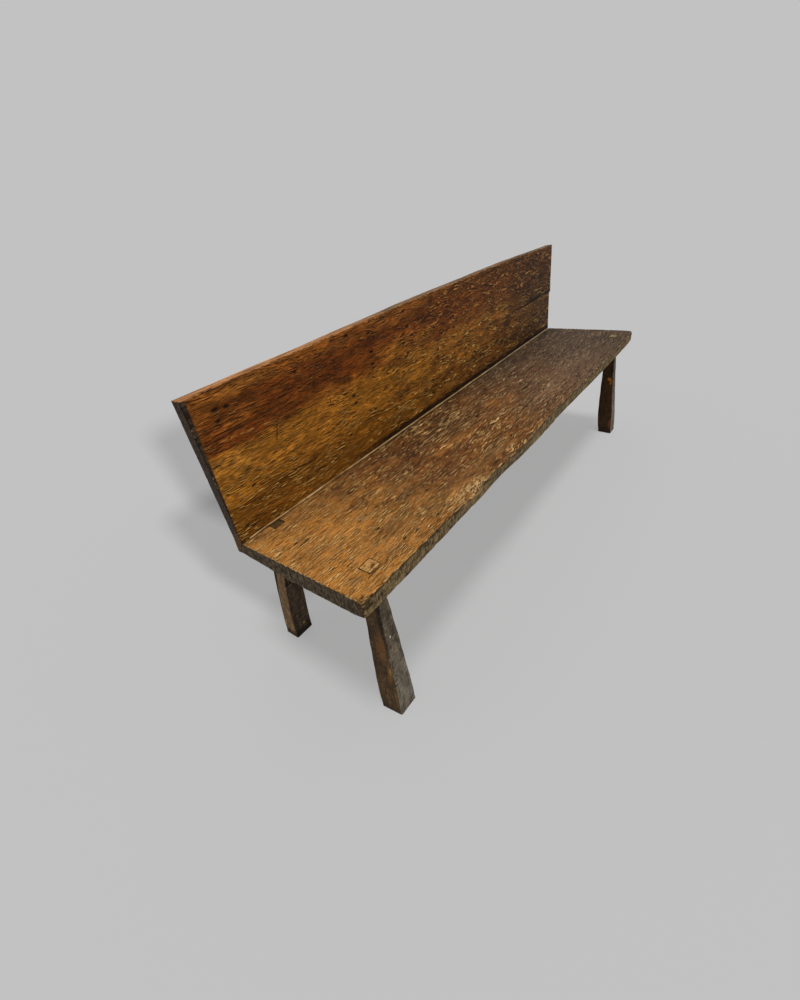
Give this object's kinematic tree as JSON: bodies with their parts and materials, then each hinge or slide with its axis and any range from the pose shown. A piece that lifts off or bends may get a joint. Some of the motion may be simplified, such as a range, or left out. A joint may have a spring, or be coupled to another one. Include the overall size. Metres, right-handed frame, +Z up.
{
  "type": "bench with back",
  "caption": "Rustic hewn plank bench with a leaning plank back and splayed legs tenoned up through the seat.",
  "frame": {"origin": "on the floor, under the middle of the whole bench's box", "axes": "+X along the bench, to the right of a viewer who stands in front of it; +Y from the front edge to the back; +Z up. Whoever sits on it faces -Y."},
  "size_m": [1.878, 0.4454, 0.7834],
  "materials": {
    "seat_wood": "worn, oiled and darkened with age, orange brown at the left end, grey brown at the right",
    "back_wood": "worn, waxed and darkened with age, red brown above and golden olive below",
    "leg_wood": "rough hewn, dark and dry, rubbed lighter on the arrises",
    "wedge_wood": "pale dry end grain",
    "lath_wood": "pale, dry and dusty",
    "nail_iron": "hand forged, dull, lightly rusted"
  },
  "bodies": {
    "root": {"seat_plank": "seat_wood", "back_plank": "back_wood", "seam_lath": "lath_wood", "leg_front_left": "leg_wood", "leg_front_right": "leg_wood", "leg_rear_left": "leg_wood", "leg_rear_right": "leg_wood", "wedge_front_left": "wedge_wood", "wedge_front_right": "wedge_wood", "back_nail_1": "nail_iron", "back_nail_2": "nail_iron", "back_nail_3": "nail_iron", "back_nail_4": "nail_iron", "back_nail_5": "nail_iron", "back_nail_6": "nail_iron"}
  },
  "joints": []
}
